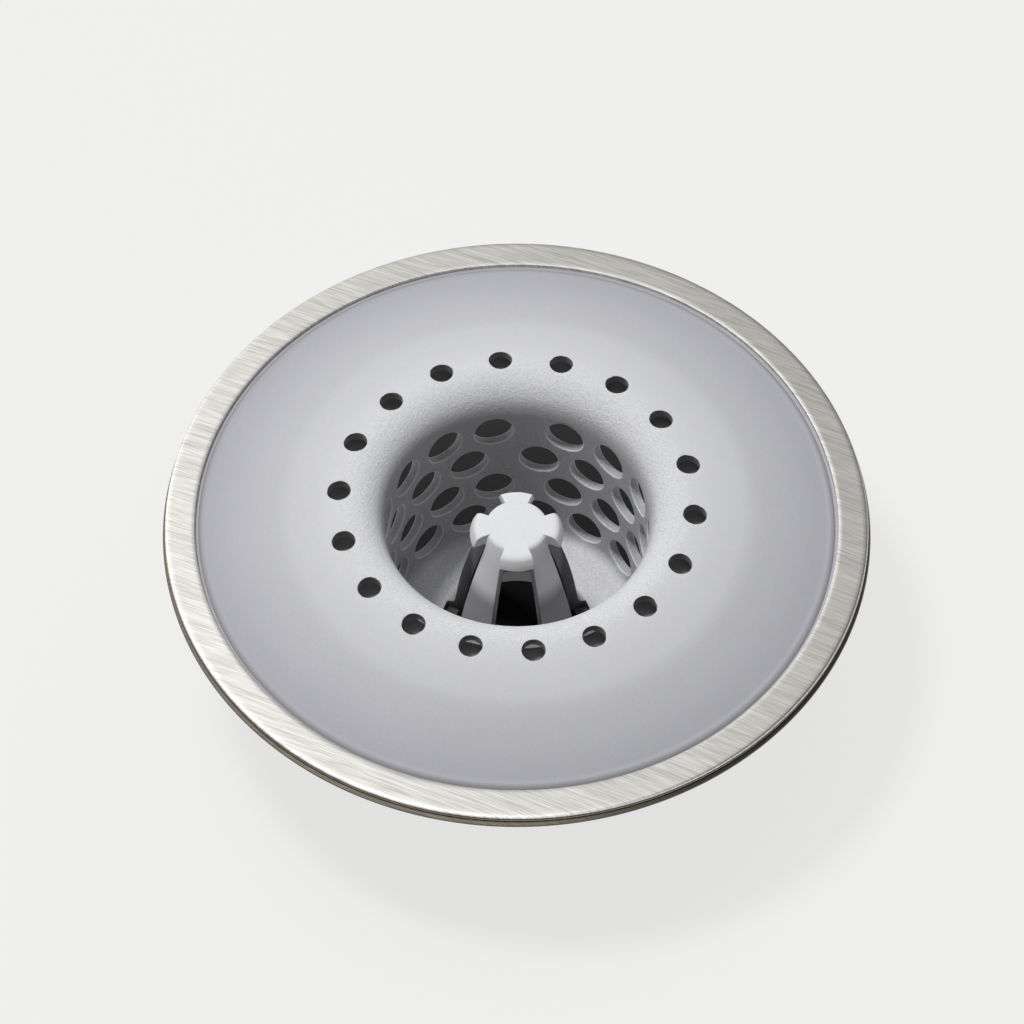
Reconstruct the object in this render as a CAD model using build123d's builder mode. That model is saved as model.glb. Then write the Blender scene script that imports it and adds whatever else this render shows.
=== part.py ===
from build123d import *
from math import radians, tan
import os

os.makedirs("parts", exist_ok=True)

# Drain hair catcher: a soft cup with a domed collar, held in a stamped steel rim.
# Sizes in millimetres. The cup stands on Z = 0 and Z is its axis.

# Steel rim
rim_radius = 56.0
rim_land = 4.8
rim_height = 32.0
rim_rise = 0.3
rim_sheet = 0.6
rim_bevel = 0.3
rim_skirt = 2.6
groove_drop = 1.15
groove_depth = 0.2
hem_bulge = 0.4
hem_bevel = 0.35

# Bead of the soft collar that sits inside the rim
seat_gap = 0.05
seal_proud = 0.1
bead_width = 5.6

# Domed collar
collar_wall = 1.6
edge_drop = 0.35
gutter_width = 1.8
crease_radius = 37.8
crease_rise = 3.25
crease_round = 25.0
dome_slope = 9.5
lip_round = 6.0
under_lip_round = 3.0
drain_hole_radius = 1.9
drain_hole_circle = 28.33
drain_hole_count = 18
drain_hole_start = 95.3

# Cup
cup_top_radius = 21.3
cup_base_radius = 20.3
cup_wall = 1.4
cup_floor = 1.5
floor_round = 1.0
wall_hole_radius = 3.2
wall_hole_columns = 30
wall_hole_rows = 4
wall_hole_pitch = 7.28
wall_hole_first = 5.72
seam_width = 20.3
seam_angle = 90.0

# Hollow post in the middle of the cup
post_height = 30.6
post_top_radius = 4.9
post_base_radius = 11.4
post_waist_radius = 9.75
post_taper = 16.8
post_bow = 90.0
post_wall = 1.6
post_shoulder = 0.8
post_foot_round = 1.2
slot_half_angle = 26.2
slot_clear = 0.2

# Grip tabs round the head of the post
tab_count = 4
tab_reach = 7.55
tab_thickness = 2.2
tab_half_angle = 23.8
tab_crown = 1.2

# Places that follow from these sizes
rim_inner = rim_radius - rim_land
rim_bottom = rim_height - rim_skirt
skirt_inner = rim_radius - rim_sheet
hem_radius = rim_radius + hem_bulge
groove_top = rim_height - groove_drop
hem_top = groove_top - 2 * groove_depth
bead_outer = skirt_inner - seat_gap
seal_height = rim_bottom - seal_proud
collar_outer = rim_inner - seat_gap
collar_edge_height = rim_height + rim_rise - edge_drop
gutter_radius = collar_outer - gutter_width
crease_height = rim_height + crease_rise
post_waist_height = post_height - post_taper
head_under = post_height - tab_thickness
slot_reach = post_base_radius + slot_clear
half_step = (360 - seam_width) / (wall_hole_columns - 1)
row_count = wall_hole_columns // 2


def dome_height(radius):
    """Height of the dome's straight flank, carried on to a radius."""
    return crease_height + (crease_radius - radius) * tan(radians(dome_slope))


def under_rim(radius):
    """Height of the rim's underside, which rises a little towards the axis."""
    return rim_height - rim_sheet + rim_rise * (rim_radius - radius) / rim_land


# Section of the rim: land, bevelled corner, skirt with a groove, and a folded hem
with BuildPart() as steel_rim:
    with BuildSketch(Plane.XZ):
        with BuildLine():
            Polyline(
                (rim_inner, rim_height + rim_rise),
                (rim_radius - rim_bevel, rim_height),
                (rim_radius, rim_height - rim_bevel),
                (rim_radius, groove_top),
                (rim_radius - groove_depth, groove_top - groove_depth),
                (rim_radius, hem_top),
                (hem_radius, hem_top - hem_bevel),
                (hem_radius, rim_bottom + hem_bevel),
                (rim_radius, rim_bottom),
                (skirt_inner, rim_bottom),
                (skirt_inner, under_rim(skirt_inner)),
                (rim_inner, under_rim(rim_inner)),
                close=True,
            )
        make_face()
    revolve(axis=Axis.Z)

# Soft moulding: collar, cup and post turned as one outline, then slotted and pierced
with BuildPart() as silicone_body:
    under_lip_radius = cup_top_radius + cup_wall
    outline = [
        (bead_outer, under_rim(bead_outer), 0),
        (collar_outer, under_rim(collar_outer), 0),
        (collar_outer, collar_edge_height, 0),
        (gutter_radius, collar_edge_height, 0),
        (crease_radius, crease_height, crease_round),
        (cup_top_radius, dome_height(cup_top_radius), lip_round),
        (cup_base_radius, cup_floor, floor_round),
        (post_base_radius, cup_floor, post_foot_round),
        (post_waist_radius, post_waist_height, post_bow),
        (post_top_radius, post_height, post_shoulder),
        (0, post_height, 0),
        (0, head_under, 0),
        (post_top_radius - post_wall, head_under, 0),
        (post_waist_radius - post_wall, post_waist_height, post_bow),
        (post_base_radius - post_wall, 0, 0),
        (cup_base_radius + cup_wall, 0, floor_round + cup_wall),
        (under_lip_radius, dome_height(under_lip_radius) - collar_wall, under_lip_round),
        (crease_radius, crease_height - collar_wall, 0),
        (gutter_radius, collar_edge_height - collar_wall, 0),
        (bead_outer - bead_width, seal_height, 0),
        (bead_outer, seal_height, 0),
    ]
    with BuildSketch(Plane.XZ):
        with BuildLine():
            FilletPolyline(
                [(radius, height) for radius, height, _ in outline],
                radius=[corner_round for _, _, corner_round in outline],
                close=True,
            )
        make_face()
    revolve(axis=Axis.Z)

    # Slots that leave four legs under the head of the post
    for turn in range(tab_count):
        slot_start = turn * 360 / tab_count - slot_half_angle
        with BuildSketch(Plane.XZ.rotated((0, 0, slot_start))):
            with Locations(((slot_reach + post_wall) / 2, head_under / 2)):
                Rectangle(slot_reach - post_wall, head_under + 2 * cup_floor)
        revolve(axis=Axis.Z, revolution_arc=2 * slot_half_angle, mode=Mode.SUBTRACT)

    # Grip tabs that fan out over the slots
    for turn in range(tab_count):
        tab_start = turn * 360 / tab_count - tab_half_angle
        with BuildSketch(Plane.XZ.rotated((0, 0, tab_start))):
            with BuildLine():
                FilletPolyline(
                    (post_wall, head_under),
                    (tab_reach, head_under),
                    (tab_reach, post_height),
                    (post_wall, post_height),
                    radius=[0, 0, tab_crown, 0],
                    close=True,
                )
            make_face()
        revolve(axis=Axis.Z, revolution_arc=2 * tab_half_angle)

    # Round holes in the cup wall, staggered row by row, with a plain seam on one side
    for row in range(wall_hole_rows):
        row_start = seam_angle + seam_width / 2 + (1 - row % 2) * half_step
        with Locations((0, 0, wall_hole_first + row * wall_hole_pitch)):
            with PolarLocations(
                cup_base_radius - cup_wall,
                row_count,
                start_angle=row_start,
                angular_range=2 * half_step * row_count,
            ):
                Cylinder(
                    wall_hole_radius,
                    cup_top_radius - cup_base_radius + 3 * cup_wall,
                    rotation=(0, 90, 0),
                    align=(Align.CENTER, Align.CENTER, Align.MIN),
                    mode=Mode.SUBTRACT,
                )

    # Drain holes round the crown of the collar
    with Locations((0, 0, dome_height(drain_hole_circle) - collar_wall)):
        with PolarLocations(drain_hole_circle, drain_hole_count, start_angle=drain_hole_start):
            Cylinder(drain_hole_radius, 4 * collar_wall, mode=Mode.SUBTRACT)

for piece, name in ((steel_rim, "steel_rim"), (silicone_body, "silicone_body")):
    piece.part.label = name
    export_step(piece.part, f"parts/{name}.step")
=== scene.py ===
import math

import bmesh
import bpy
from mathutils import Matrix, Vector
from mathutils.bvhtree import BVHTree
from mathutils.kdtree import KDTree


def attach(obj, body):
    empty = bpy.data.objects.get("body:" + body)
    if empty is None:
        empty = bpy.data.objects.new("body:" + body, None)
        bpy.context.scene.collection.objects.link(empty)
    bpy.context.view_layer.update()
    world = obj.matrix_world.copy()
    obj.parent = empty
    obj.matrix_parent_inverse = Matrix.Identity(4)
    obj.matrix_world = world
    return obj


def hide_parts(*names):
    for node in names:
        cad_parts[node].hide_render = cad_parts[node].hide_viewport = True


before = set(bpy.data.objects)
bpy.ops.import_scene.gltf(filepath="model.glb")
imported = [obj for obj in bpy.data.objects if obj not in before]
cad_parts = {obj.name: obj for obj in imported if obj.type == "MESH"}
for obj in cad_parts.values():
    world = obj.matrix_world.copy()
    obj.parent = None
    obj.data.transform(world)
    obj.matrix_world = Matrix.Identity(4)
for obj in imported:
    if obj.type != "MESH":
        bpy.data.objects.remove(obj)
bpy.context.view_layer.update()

# Meshes are drawn in millimetres, as the solids are, and brought to metres when they are done.
MM = 0.001

# Steel rim
rim_radius = 56.0
rim_inner = 51.2
rim_top = 32.0
rim_rise = 0.3
rim_sheet = 0.6
rim_bottom = 29.4
groove_top = rim_top - 1.15
groove_depth = 0.2
hem_top = groove_top - 2 * groove_depth
hem_radius = rim_radius + 0.4
hem_bevel = 0.35

# Domed collar, with the channel beside the steel and the bead under it
crease_radius = 37.8
crease_height = 35.25
dome_slope = 9.5
collar_wall = 1.6
collar_top = 31.95
gutter_radius = 49.35
edge_radius = 50.3
channel_radius = 50.75
channel_depth = 0.5
tuck_radius = 51.3
bead_outer = 55.35
bead_inner = 49.75
seal_bottom = 29.3
drain_circle = 28.33
drain_radius = 1.9
drain_count = 18
drain_start = 95.3

# Cup
cup_top = 21.3
cup_base = 20.3
cup_wall = 1.4
cup_floor = 1.5
hole_radius = 3.2
hole_columns = 30
hole_rows = 4
hole_pitch = 7.28
hole_first = 5.72
seam_angle = 90.0
seam_width = 20.3

# Slotted post: its mesh and the cup's end at two borders in the floor, which are joined at the last
post_height = 30.6
post_top = 4.9
post_base = 11.4
post_wall = 1.6
post_bow = 90.0
waist_radius = 9.75
waist_height = 13.8
head_under = 28.4
head_radius = post_top + (post_height - head_under) * (waist_radius - post_top) / (post_height - waist_height)
slot_end = 12.6
slot_half_angle = 26.25
post_border = slot_end + 0.9
cup_border = slot_end + 1.6
tab_half_angle = 22.5
tab_reach = 7.5

# Edges and painted light: how much lighter or darker than the skin a face is painted, as a painted highlight
# on rounded edges and hole mouths, and as painted shade in the slots, the post's hollow, the bores and beside
# the collar's edge
edge_round = 0.2
slot_wall_painted_shade = -0.5
hollow_painted_shade = -0.8
post_edge_painted_highlight = 0.2
bore_painted_shade = {hole_radius: -0.1, drain_radius: -0.5}
mouth_painted_highlight = {hole_radius: 0.45, drain_radius: 0.1}
collar_edge_painted_shade = -0.36

# Slack for telling two heights or two borders apart
near = 0.01
nearer = 0.001


def dome_height(radius):
    return crease_height + (crease_radius - radius) * math.tan(math.radians(dome_slope))


def under_rim(radius):
    return rim_top - rim_sheet + rim_rise * (rim_radius - radius) / (rim_radius - rim_inner)


# Colours are written as sRGB hex and turned to linear here.
def linear(hex_code):
    channels = []
    for i in (1, 3, 5):
        value = int(hex_code[i : i + 2], 16) / 255
        channels.append(value / 12.92 if value <= 0.04045 else ((value + 0.055) / 1.055) ** 2.4)
    return (*channels, 1.0)


# Adds one node, sets its fields and its inputs by number or name, links what feeds it, and fills a ramp.
def add(tree, kind, inputs=None, stops=None, **fields):
    node = tree.nodes.new(kind)
    for field, value in fields.items():
        setattr(node, field, value)
    for socket, value in (inputs or {}).items():
        if isinstance(value, bpy.types.NodeSocket):
            tree.links.new(value, node.inputs[socket])
        else:
            node.inputs[socket].default_value = value
    if stops:
        ends = node.color_ramp.elements
        ends[0].position, ends[0].color = stops[0]
        ends[1].position, ends[1].color = stops[-1]
        for position, color in stops[1:-1]:
            ends.new(position).color = color
    return node


def new_material(name):
    material = bpy.data.materials.new(name)
    material.use_nodes = True
    material.node_tree.nodes.clear()
    return material, material.node_tree


# Silicone, moulded in a blasted tool: a matte grey with a fine grain that catches the light.
# Its tone goes in rings of painted light and shade: the cap, the cup's floor and its lip are painted paler
# where light falls on them, the legs and cup wall darker where they stand in shade, and it grows darker
# towards the outer collar.
# The blast was coarsest in the cup and on its lip.
def moulded_silicone():
    cloud_width = 16 * MM
    grain_width = 0.32 * MM
    grain_depth = 0.2 * MM
    widest = 50.0
    rings = (
        (7.6, "#DADADC"),
        (8.4, "#98989B"),
        (11.8, "#98989B"),
        (12.8, "#D3D3D5"),
        (18.8, "#D3D3D5"),
        (20.1, "#BABABD"),
        (21.35, "#BABABD"),
        (22.4, "#D4D4D6"),
        (24.5, "#D4D4D6"),
        (32, "#C7C7CA"),
        (36, "#C2C2C5"),
        (38.2, "#BABABE"),
        (44, "#B2B2B7"),
        (widest, "#A7A7AC"),
    )
    grain_rings = ((9, 0.15), (12, 0.9), (25, 0.9), (30, 0.2))
    material, tree = new_material("moulded_silicone")
    place = add(tree, "ShaderNodeTexCoord").outputs["Object"]
    parts = add(tree, "ShaderNodeSeparateXYZ", {0: place}).outputs
    flat = add(tree, "ShaderNodeCombineXYZ", {"X": parts["X"], "Y": parts["Y"]}).outputs[0]
    radius = add(tree, "ShaderNodeVectorMath", {0: flat}, operation="LENGTH").outputs["Value"]
    across = add(tree, "ShaderNodeMath", {0: radius, 1: widest * MM}, operation="DIVIDE").outputs[0]
    tone = add(
        tree,
        "ShaderNodeValToRGB",
        {0: across},
        [(reach / widest, linear(color)) for reach, color in rings],
    ).outputs[0]
    blast = add(
        tree,
        "ShaderNodeValToRGB",
        {0: across},
        [(reach / widest, (share, share, share, 1)) for reach, share in grain_rings],
    ).outputs[0]
    grain = add(
        tree,
        "ShaderNodeTexNoise",
        {"Vector": place, "Scale": 1 / grain_width, "Detail": 2.0, "Roughness": 0.6},
    ).outputs["Fac"]
    speck = add(
        tree,
        "ShaderNodeMapRange",
        {"Value": grain, "From Min": 0.3, "From Max": 0.7, "To Min": 0.86, "To Max": 1.14},
    ).outputs[0]
    speck = add(tree, "ShaderNodeMix", {0: blast, 2: 1.0, 3: speck}, data_type="FLOAT").outputs[0]
    cloud = add(
        tree,
        "ShaderNodeTexNoise",
        {"Vector": place, "Scale": 1 / cloud_width, "Detail": 2.0},
    ).outputs["Fac"]
    shade = add(tree, "ShaderNodeMapRange", {"Value": cloud, "To Min": 0.96, "To Max": 1.0}).outputs[0]
    # Painted light and shade, face by face: lighter edges and hole mouths, darker slots, hollow, bores and
    # collar edge
    painted_light = add(tree, "ShaderNodeAttribute", attribute_name="painted_light").outputs["Fac"]
    painted_light = add(tree, "ShaderNodeMath", {0: painted_light, 1: 1.0}, operation="ADD").outputs[0]
    for factor in (painted_light, speck):
        shade = add(tree, "ShaderNodeMath", {0: shade, 1: factor}, operation="MULTIPLY").outputs[0]
    tone = add(
        tree,
        "ShaderNodeMix",
        {0: 1.0, 6: tone, 7: shade},
        data_type="RGBA",
        blend_type="MULTIPLY",
    ).outputs[2]
    bump = add(
        tree,
        "ShaderNodeBump",
        {"Strength": blast, "Distance": grain_depth, "Height": grain},
    ).outputs[0]
    shader = add(
        tree,
        "ShaderNodeBsdfPrincipled",
        {"Base Color": tone, "Roughness": 0.6, "IOR": 1.41, "Specular IOR Level": 0.2, "Normal": bump},
    ).outputs[0]
    add(tree, "ShaderNodeOutputMaterial", {"Surface": shader})
    return material


# Stainless steel, brushed straight across on a belt: parallel scratches and a warm grey sheen.
# The scratches are drawn coarser than real ones, so that they show. The skirt below the land is painted
# darker, as painted reflection and shade: its groove and the foot of its corner are painted nearly black, a
# light stripe between them is a painted reflection, and the hem is painted a dull brown grey.
def brushed_steel():
    scratch_angle = math.radians(24)
    fine_length, fine_width = 6 * MM, 0.17 * MM
    broad_length, broad_width = 30 * MM, 1.1 * MM
    scratch_depth = 0.02 * MM
    skirt_painted_reflections = (
        (0.04, "#5A564F"),
        (0.19, "#78736B"),
        (0.385, "#78736B"),
        (0.44, "#242322"),
        (0.52, "#242322"),
        (0.58, "#B5B1A8"),
        (0.65, "#B5B1A8"),
        (0.71, "#201F1E"),
        (0.77, "#201F1E"),
        (0.83, "#FFFFFF"),
    )
    material, tree = new_material("brushed_stainless_steel")
    place = add(tree, "ShaderNodeTexCoord").outputs["Object"]
    turned = add(tree, "ShaderNodeMapping", {"Vector": place, "Rotation": (0, 0, scratch_angle)}).outputs[0]
    layers = []
    for length, width in ((fine_length, fine_width), (broad_length, broad_width)):
        drawn_out = add(
            tree,
            "ShaderNodeMapping",
            {"Vector": turned, "Scale": (1 / length, 1 / width, 1 / length)},
        ).outputs[0]
        noise = add(tree, "ShaderNodeTexNoise", {"Vector": drawn_out, "Scale": 1.0, "Detail": 2.0})
        layers.append(noise.outputs["Fac"])
    fine, broad = layers
    lines = add(tree, "ShaderNodeMix", {0: 0.16, 2: fine, 3: broad}, data_type="FLOAT").outputs[0]
    lines = add(
        tree,
        "ShaderNodeMapRange",
        {"Value": lines, "From Min": 0.32, "From Max": 0.68},
    ).outputs[0]
    tone = add(
        tree,
        "ShaderNodeMix",
        {0: lines, 6: linear("#BDBBB6"), 7: linear("#E9E7E3")},
        data_type="RGBA",
    ).outputs[2]
    height = add(tree, "ShaderNodeSeparateXYZ", {0: place}).outputs["Z"]
    level = add(
        tree,
        "ShaderNodeMapRange",
        {"Value": height, "From Min": rim_bottom * MM, "From Max": rim_top * MM},
    ).outputs[0]
    # Painted reflection and shade on the skirt, banded by height
    skirt_painted_reflection = add(
        tree,
        "ShaderNodeValToRGB",
        {0: level},
        [(share, linear(color)) for share, color in skirt_painted_reflections],
    ).outputs[0]
    tone = add(
        tree,
        "ShaderNodeMix",
        {0: 1.0, 6: tone, 7: skirt_painted_reflection},
        data_type="RGBA",
        blend_type="MULTIPLY",
    ).outputs[2]
    rough = add(tree, "ShaderNodeMapRange", {"Value": lines, "To Min": 0.4, "To Max": 0.32}).outputs[0]
    bump = add(
        tree,
        "ShaderNodeBump",
        {"Strength": 0.14, "Distance": scratch_depth, "Height": lines},
    ).outputs[0]
    shader = add(
        tree,
        "ShaderNodeBsdfPrincipled",
        {"Base Color": tone, "Metallic": 1.0, "Roughness": rough, "Normal": bump},
    ).outputs[0]
    add(tree, "ShaderNodeOutputMaterial", {"Surface": shader})
    return material


# Draws a wire in the XZ plane through corners of (radius, height, round, steps) and rounds them.
def section(bm, corners, closed=False):
    verts = [bm.verts.new((radius, 0, height)) for radius, height, _, _ in corners]
    ends = verts + verts[:1] if closed else verts
    for pair in zip(ends, ends[1:]):
        bm.edges.new(pair)
    for vert, (_, _, corner_round, steps) in zip(verts, corners):
        if corner_round:
            ways = [edge.other_vert(vert).co - vert.co for edge in vert.link_edges]
            turn = math.pi - ways[0].angle(ways[1])
            bmesh.ops.bevel(
                bm,
                geom=[vert],
                offset=corner_round * math.tan(turn / 2),
                offset_type="OFFSET",
                segments=steps,
                profile=0.5,
                affect="VERTICES",
                material=-1,
                clamp_overlap=False,
            )


# Cuts the wires into stretches no longer than asked for each.
def split_long(bm, longest):
    for edge in [e for e in bm.edges if e.is_wire]:
        cuts = math.ceil(edge.calc_length() / longest(edge)) - 1
        if cuts > 0:
            bmesh.ops.subdivide_edges(bm, edges=[edge], cuts=cuts)


# Spins every bare wire of the mesh round the axis.
def turn_round(bm, steps):
    bmesh.ops.spin(
        bm,
        geom=[v for v in bm.verts if v.is_wire] + [e for e in bm.edges if e.is_wire],
        cent=(0, 0, 0),
        axis=(0, 0, 1),
        dvec=(0, 0, 0),
        angle=2 * math.pi,
        steps=steps,
        use_merge=True,
        use_duplicate=False,
    )
    bmesh.ops.remove_doubles(bm, verts=bm.verts, dist=nearer)


# A new mesh whose faces carry painted light and shade.
def fresh():
    bm = bmesh.new()
    bm.faces.layers.float.new("painted_light")
    return bm


def give_painted_light(bm, faces, painted_light):
    layer = bm.faces.layers.float["painted_light"]
    for face in faces:
        face[layer] = painted_light


# Rounds edges and gives the new faces a painted highlight of their own.
def soften(bm, edges, steps, painted_light):
    made = bmesh.ops.bevel(
        bm,
        geom=edges,
        offset=edge_round,
        offset_type="OFFSET",
        segments=steps,
        profile=0.5,
        affect="EDGES",
        material=-1,
        clamp_overlap=True,
    )
    give_painted_light(bm, made["faces"], painted_light)


# Makes an object of a mesh that is done, in metres.
def placed(bm, name, material):
    bmesh.ops.scale(bm, vec=(MM, MM, MM), verts=bm.verts)
    mesh = bpy.data.meshes.new(name)
    bm.to_mesh(mesh)
    bm.free()
    mesh.materials.append(material)
    piece = bpy.data.objects.new(name, mesh)
    bpy.context.scene.collection.objects.link(piece)
    return piece


# Makes a piece of the catcher, smooth but for its sharp edges, that stands for a solid.
def finished(bm, name, node, material):
    bmesh.ops.recalc_face_normals(bm, faces=bm.faces)
    piece = placed(bm, name, material)
    piece.data.shade_smooth()
    piece.data.set_sharp_from_angle(angle=math.radians(40))
    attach(piece, "root")
    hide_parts(node)


# Which of the four slots a place is nearest to, and how far it is turned from the slot's middle.
def nearest_slot(place):
    angle = math.degrees(math.atan2(place.y, place.x))
    number = round(angle / 90)
    return number % 4, abs(angle - 90 * number)


# Post: a bowed hollow turning, slotted into four legs, with a tab over each slot.
def slotted_post(bm):
    section(
        bm,
        [
            (post_border, cup_floor, 0, 0),
            (slot_end, cup_floor, 0, 0),
            (post_base, cup_floor, 1.2, 4),
            (waist_radius, waist_height, post_bow, 8),
            (head_radius, head_under, 0, 0),
            (post_top, post_height, 0.8, 4),
            (0, post_height, 0, 0),
        ],
    )
    section(
        bm,
        [
            (post_border, 0, 0, 0),
            (slot_end, 0, 0, 0),
            (post_base - post_wall, 0, 0, 0),
            (waist_radius - post_wall, waist_height, post_bow, 8),
            (post_top - post_wall, head_under, 0, 0),
            (0, head_under, 0, 0),
        ],
    )
    foot = [e for e in bm.edges if e.is_wire and max(v.co.z for v in e.verts) < nearer]
    foot = [e for e in foot if min(v.co.x for v in e.verts) < slot_end - near]
    bmesh.ops.subdivide_edges(bm, edges=foot, cuts=4)
    turn_round(bm, 96)

    # Slots: the faces of both skins come out, and walls join the two borders, with painted shade on the walls
    cut = []
    for face in bm.faces:
        centre = face.calc_center_median()
        if centre.xy.length < slot_end and centre.z < head_under - near:
            if nearest_slot(centre)[1] < slot_half_angle:
                cut.append(face)
    border = {e for f in cut for e in f.edges}
    bmesh.ops.delete(bm, geom=cut, context="FACES")
    border = [e for e in border if e.is_valid and e.is_boundary]
    for number in range(4):
        sides = [e for e in border if nearest_slot(e.verts[0].co + e.verts[1].co)[0] == number]
        walls = bmesh.ops.bridge_loops(bm, edges=sides)["faces"]
        give_painted_light(bm, walls, slot_wall_painted_shade)

    # Tabs, drawn out of the side of the head
    side = []
    for face in bm.faces:
        centre = face.calc_center_median()
        at_head = head_under + near < centre.z < post_height - nearer
        if at_head and nearest_slot(centre)[1] < tab_half_angle and centre.xy.length > post_top - 1.0:
            side.append(face)
    made = bmesh.ops.extrude_face_region(bm, geom=side)["geom"]
    bmesh.ops.delete(bm, geom=side, context="FACES")
    outward = tab_reach / head_radius
    drawn_out = [v for v in made if isinstance(v, bmesh.types.BMVert)]
    bmesh.ops.scale(bm, vec=(outward, outward, 1), verts=drawn_out)

    # Soft moulded edges with a painted highlight, and a hollow painted dark as painted shade
    bmesh.ops.recalc_face_normals(bm, faces=bm.faces)
    hollow = [f for f in bm.faces if f.normal.xy.dot(f.calc_center_median().xy) < -0.1]
    give_painted_light(bm, [f for f in hollow if f.calc_center_median().z < head_under], hollow_painted_shade)
    sharp = [e for e in bm.edges if e.is_manifold and e.calc_face_angle() > math.radians(35)]
    soften(bm, sharp, 2, post_edge_painted_highlight)


# Cup and collar: one turned skin from the cup's floor over the lip and dome, under the rim and back.
def cup_and_collar(bm):
    under_lip = cup_top + cup_wall
    section(
        bm,
        [
            (cup_border, cup_floor, 0, 0),
            (cup_base, cup_floor, 1.2, 4),
            (cup_top, dome_height(cup_top), 6.0, 18),
            (crease_radius, crease_height, 25.0, 8),
            (gutter_radius, collar_top, 2.0, 4),
            (edge_radius, collar_top, 1.1, 6),
            (channel_radius, collar_top - channel_depth, 0.15, 2),
            (tuck_radius, under_rim(tuck_radius), 0, 0),
            (bead_outer, under_rim(bead_outer), 0, 0),
            (bead_outer, seal_bottom, 0.3, 2),
            (bead_inner, seal_bottom, 0.3, 2),
            (gutter_radius, collar_top - collar_wall, 0, 0),
            (crease_radius, crease_height - collar_wall, 0, 0),
            (under_lip, dome_height(under_lip) - collar_wall, 3.0, 6),
            (cup_base + cup_wall, 0, 2.4, 6),
            (cup_border, 0, 0, 0),
        ],
    )
    pierced_reach = 33
    split_long(bm, lambda edge: 0.56 if edge.verts[0].co.x < pierced_reach else 2.5)
    turn_round(bm, 240)

    # The collar's rounded edge is painted darker towards the channel, as painted shade
    shade_start = edge_radius - 0.55
    shade_width = 0.95
    for face in bm.faces:
        centre = face.calc_center_median()
        share = (centre.xy.length - shade_start) / shade_width
        if 0 < share <= 1.06 and centre.z > seal_bottom + 1.5:
            give_painted_light(bm, [face], collar_edge_painted_shade * share**1.3)


# Middle of each hole, half way through its wall, with the way out of the part and the hole's radius.
def wall_holes():
    half_step = (360 - seam_width) / (hole_columns - 1)
    for row in range(hole_rows):
        height = hole_first + row * hole_pitch
        rise = (height - cup_floor) / (dome_height(cup_top) - cup_floor)
        middle = cup_base + rise * (cup_top - cup_base) + cup_wall / 2
        start = seam_angle + seam_width / 2 + (1 - row % 2) * half_step
        for column in range(hole_columns // 2):
            angle = math.radians(start + 2 * half_step * column)
            outwards = Vector((math.cos(angle), math.sin(angle), 0))
            yield outwards * middle + Vector((0, 0, height)), outwards, hole_radius


def drain_holes():
    for turn in range(drain_count):
        angle = math.radians(drain_start + turn * 360 / drain_count)
        place = Vector((math.cos(angle), math.sin(angle), 0)) * drain_circle
        place.z = dome_height(drain_circle) - collar_wall / 2
        yield place, Vector((0, 0, 1)), drain_radius


# Holes: the faces of both skins come out, their borders are drawn in to circles, and bores join the circles.
def open_holes(bm):
    margin = 0.6
    search = 2.0
    deepest = 1.6
    clear_of_wall = 6
    surface = BVHTree.FromBMesh(bm)
    faces = bm.faces[:]
    centres = KDTree(len(faces))
    for number, face in enumerate(faces):
        centres.insert(face.calc_center_median(), number)
    centres.balance()
    holes = [*wall_holes(), *drain_holes()]
    spots = KDTree(len(holes))
    cut = set()
    for number, (spot, axis, radius) in enumerate(holes):
        spots.insert(spot, number)
        for centre, found, _ in centres.find_range(spot, radius + search):
            depth = (centre - spot).dot(axis)
            if abs(depth) < deepest and (centre - spot - axis * depth).length < radius + margin:
                cut.add(faces[found])
    spots.balance()
    border = {e for f in cut for e in f.edges if sum(g in cut for g in e.link_faces) == 1}
    bmesh.ops.delete(bm, geom=list(cut), context="FACES")
    made = bmesh.ops.extrude_edge_only(bm, edges=list(border))["geom"]
    rings = {}
    for edge in made:
        if isinstance(edge, bmesh.types.BMEdge):
            rings.setdefault(spots.find(edge.verts[0].co)[1], []).append(edge)

    # Each mouth becomes an even ring on the skin, and a bore joins the two mouths of a hole; the bores get
    # painted shade and the mouths a painted highlight
    for number, ring in rings.items():
        spot, axis, radius = holes[number]
        right = axis.orthogonal().normalized()
        up = axis.cross(right)
        for out in (axis, -axis):
            mouth = {}
            for vert in {v for e in ring for v in e.verts}:
                arm = vert.co - spot
                if arm.dot(out) > 0:
                    mouth[math.atan2(arm.dot(up), arm.dot(right))] = vert
            step = 2 * math.pi / len(mouth)
            start = sum(angle - step * i for i, angle in enumerate(sorted(mouth))) / len(mouth)
            for i, angle in enumerate(sorted(mouth)):
                turned = right * math.cos(start + step * i) + up * math.sin(start + step * i)
                mouth[angle].co = surface.ray_cast(spot + turned * radius + out * clear_of_wall, -out)[0]
        bore = bmesh.ops.bridge_loops(bm, edges=ring)["faces"]
        give_painted_light(bm, bore, bore_painted_shade[radius])
    for size, painted_light in mouth_painted_highlight.items():
        mouths = [e for number, ring in rings.items() if holes[number][2] == size for e in ring]
        soften(bm, mouths, 3, painted_light)


# The whole moulding: the post's mesh is set into the cup's, and their borders in the floor are joined.
def silicone_moulding():
    bm = fresh()
    cup_and_collar(bm)
    bmesh.ops.recalc_face_normals(bm, faces=bm.faces)
    open_holes(bm)
    post = fresh()
    slotted_post(post)
    loose = bpy.data.meshes.new("post")
    post.to_mesh(loose)
    post.free()
    bm.from_mesh(loose)
    bpy.data.meshes.remove(loose)
    for height in (0, cup_floor):
        open_edges = [e for e in bm.edges if e.is_boundary and abs(e.verts[0].co.z - height) < nearer]
        bmesh.ops.bridge_loops(bm, edges=open_edges)
    finished(bm, "silicone_moulding", "silicone_body", moulded_silicone())


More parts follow.
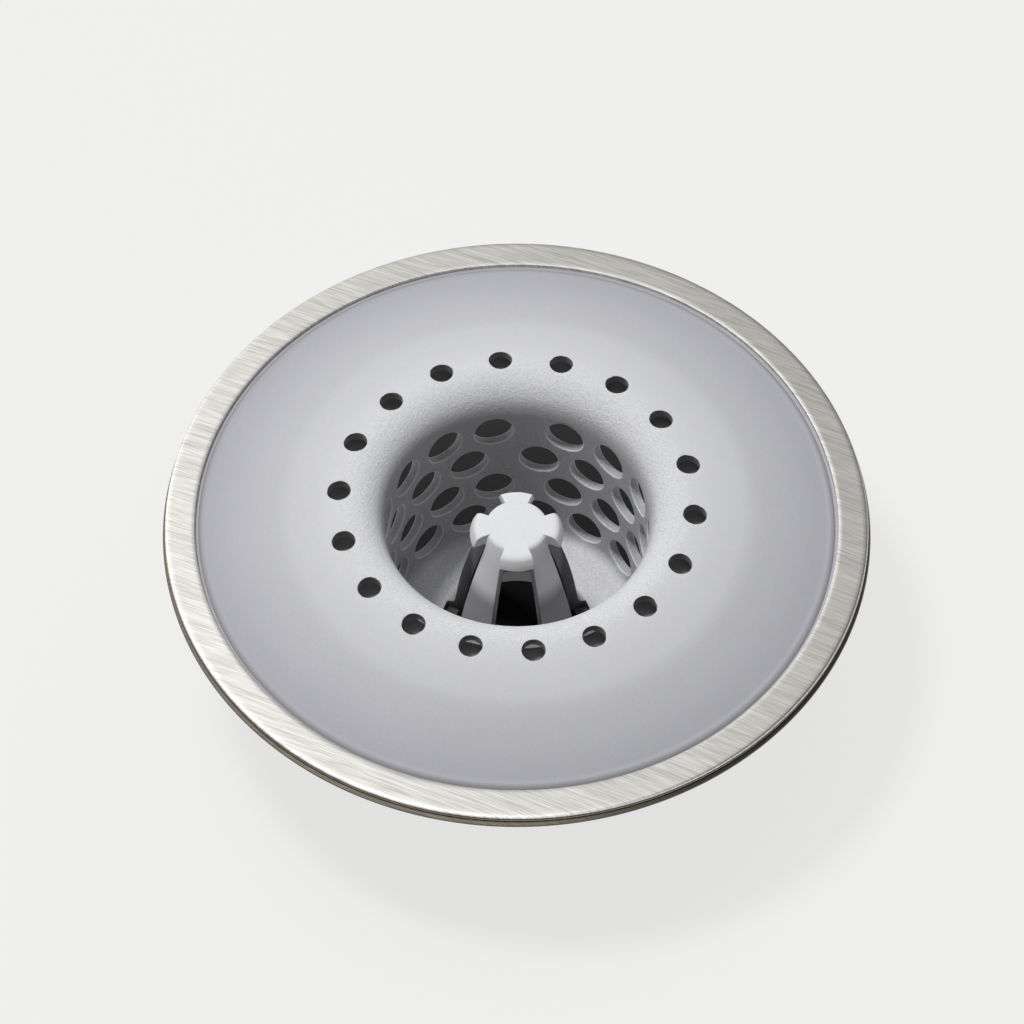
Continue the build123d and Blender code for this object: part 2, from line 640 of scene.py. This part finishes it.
# Rim: a stamped ring with a rounded corner, a groove in its skirt and a rolled hem.
def stamped_rim():
    bm = bmesh.new()
    skirt_inner = rim_radius - rim_sheet
    section(
        bm,
        [
            (rim_inner, rim_top + rim_rise, 0.12, 2),
            (rim_radius, rim_top, 0.45, 4),
            (rim_radius, groove_top, 0.12, 2),
            (rim_radius - groove_depth, groove_top - groove_depth, 0.15, 3),
            (rim_radius, hem_top, 0.1, 2),
            (hem_radius, hem_top - hem_bevel, 0.35, 4),
            (hem_radius, rim_bottom + hem_bevel, 0.35, 4),
            (rim_radius, rim_bottom, 0.2, 2),
            (skirt_inner, rim_bottom, 0, 0),
            (skirt_inner, under_rim(skirt_inner), 0, 0),
            (rim_inner, under_rim(rim_inner), 0, 0),
        ],
        closed=True,
    )
    split_long(bm, lambda edge: 0.7)
    turn_round(bm, 300)
    finished(bm, "stamped_rim", "steel_rim", brushed_steel())


silicone_moulding()
stamped_rim()


# Stage: a pale floor with painted shade under the cup, and a grey flag tucked up under the dome behind the
# drain holes, a sheet put there to stand for the shade seen through them.
def pale_floor():
    painted_shade_middle = (0, 15 * MM, 0)
    painted_shade_inner, painted_shade_outer = 28 * MM, 40 * MM
    core_radius = 10.5 * MM
    material, tree = new_material("pale_floor")
    place = add(tree, "ShaderNodeTexCoord").outputs["Object"]
    reach = add(
        tree,
        "ShaderNodeVectorMath",
        {0: place, 1: painted_shade_middle},
        operation="DISTANCE",
    ).outputs["Value"]
    clear = add(
        tree,
        "ShaderNodeMapRange",
        {"Value": reach, "From Min": painted_shade_inner, "From Max": painted_shade_outer},
        interpolation_type="SMOOTHSTEP",
    ).outputs[0]
    radius = add(tree, "ShaderNodeVectorMath", {0: place}, operation="LENGTH").outputs["Value"]
    past_core = add(tree, "ShaderNodeMath", {0: radius, 1: core_radius}, operation="GREATER_THAN").outputs[0]
    # Painted shade under the cup, darkest under the post's hollow
    painted_shade = add(
        tree,
        "ShaderNodeMix",
        {0: past_core, 6: linear("#141414"), 7: linear("#5C5C5C")},
        data_type="RGBA",
    ).outputs[2]
    tone = add(
        tree,
        "ShaderNodeMix",
        {0: clear, 6: painted_shade, 7: linear("#E4E4E2")},
        data_type="RGBA",
    ).outputs[2]
    path = add(tree, "ShaderNodeLightPath").outputs
    seen = add(
        tree,
        "ShaderNodeMath",
        {0: path["Is Camera Ray"], 1: path["Is Glossy Ray"]},
        operation="MAXIMUM",
    ).outputs[0]
    share = add(tree, "ShaderNodeMath", {0: seen, 1: clear}, operation="MULTIPLY").outputs[0]
    share = add(tree, "ShaderNodeMath", {0: share, 1: 0.85}, operation="MULTIPLY").outputs[0]
    plain = add(tree, "ShaderNodeBsdfDiffuse", {"Color": tone}).outputs[0]
    glow = add(tree, "ShaderNodeEmission", {"Color": linear("#F0F0EF")}).outputs[0]
    both = add(tree, "ShaderNodeMixShader", {0: share, 1: plain, 2: glow}).outputs[0]
    add(tree, "ShaderNodeOutputMaterial", {"Surface": both})
    return material


# A grey sheet under the dome that stands for the shade seen through the drain holes
def grey_shade_flag():
    material, tree = new_material("grey_shade_flag")
    shader = add(tree, "ShaderNodeBsdfDiffuse", {"Color": linear("#A4A4A4")}).outputs[0]
    add(tree, "ShaderNodeOutputMaterial", {"Surface": shader})
    return material


floor_radius = 2500
floor_gap = 0.1
floor = bmesh.new()
bmesh.ops.create_circle(floor, radius=floor_radius, segments=64, cap_ends=True)
bmesh.ops.translate(floor, vec=(0, 0, -floor_gap), verts=floor.verts)
placed(floor, "floor", pale_floor())

shade_flag = bmesh.new()
section(shade_flag, [(25.0, 32.5, 0, 0), (36.0, 32.0, 0, 0)])
turn_round(shade_flag, 96)
placed(shade_flag, "shade_flag", grey_shade_flag())

# Light: one soft round lamp, high and to the left, which the steel doesn't mirror
lamp_place = Vector((-0.34, 0.09, 1.14))
lamp_target = Vector((0, 0, 0.03))
lamp_data = bpy.data.lights.new("key", "AREA")
lamp_data.shape = "DISK"
lamp_data.size = 0.24
lamp_data.energy = 9.6
lamp = bpy.data.objects.new("key", lamp_data)
lamp.visible_glossy = False
lamp.location = lamp_place
lamp.rotation_euler = (lamp_target - lamp_place).to_track_quat("-Z", "Y").to_euler()
bpy.context.scene.collection.objects.link(lamp)


# A soft sky, brightest overhead and a little behind. The steel mirrors a panel on the left instead.
def soft_sky():
    sky_axis = (0.0, 0.45, 0.893)
    panel_axis = (-0.9, -0.3, 0.3)
    world = bpy.data.worlds.new("soft_sky")
    world.use_nodes = True
    tree = world.node_tree
    tree.nodes.clear()
    way = add(tree, "ShaderNodeTexCoord").outputs["Generated"]
    overhead, aside = [
        add(tree, "ShaderNodeVectorMath", {0: way, 1: axis}, operation="DOT_PRODUCT").outputs["Value"]
        for axis in (sky_axis, panel_axis)
    ]
    sky_level = add(
        tree,
        "ShaderNodeMapRange",
        {"Value": overhead, "From Min": 0.5, "From Max": 1.0, "To Max": 1.2},
    ).outputs[0]
    panel_level = add(
        tree,
        "ShaderNodeMapRange",
        {"Value": aside, "From Min": -0.25, "From Max": 0.45, "To Min": 0.19, "To Max": 2.0},
    ).outputs[0]
    sky, panel = [
        add(tree, "ShaderNodeBackground", {"Color": linear(color), "Strength": level}).outputs[0]
        for color, level in (("#F6F7F8", sky_level), ("#F8F8F7", panel_level))
    ]
    white = add(tree, "ShaderNodeBackground", {"Color": linear("#F0F0EF")}).outputs[0]
    path = add(tree, "ShaderNodeLightPath").outputs
    lit = add(tree, "ShaderNodeMixShader", {0: path["Is Glossy Ray"], 1: sky, 2: panel}).outputs[0]
    both = add(tree, "ShaderNodeMixShader", {0: path["Is Camera Ray"], 1: lit, 2: white}).outputs[0]
    add(tree, "ShaderNodeOutputWorld", {"Surface": both})
    return world


bpy.context.scene.world = soft_sky()

# Camera at the photograph's angle: from the front, 54.6 degrees above the rim
height_angle = math.radians(54.608)
aim = Vector((-0.746, 1.576, rim_top)) * MM
camera_distance = 0.95
camera_data = bpy.data.cameras.new("camera")
camera_data.lens = 209.6
camera_data.clip_start = 0.05
camera_data.clip_end = 20.0
camera = bpy.data.objects.new("camera", camera_data)
camera.location = aim + camera_distance * Vector((0, -math.cos(height_angle), math.sin(height_angle)))
camera.rotation_euler = (math.pi / 2 - height_angle, 0, 0)
bpy.context.scene.collection.objects.link(camera)
bpy.context.scene.camera = camera

bpy.context.scene.view_settings.view_transform = "Standard"
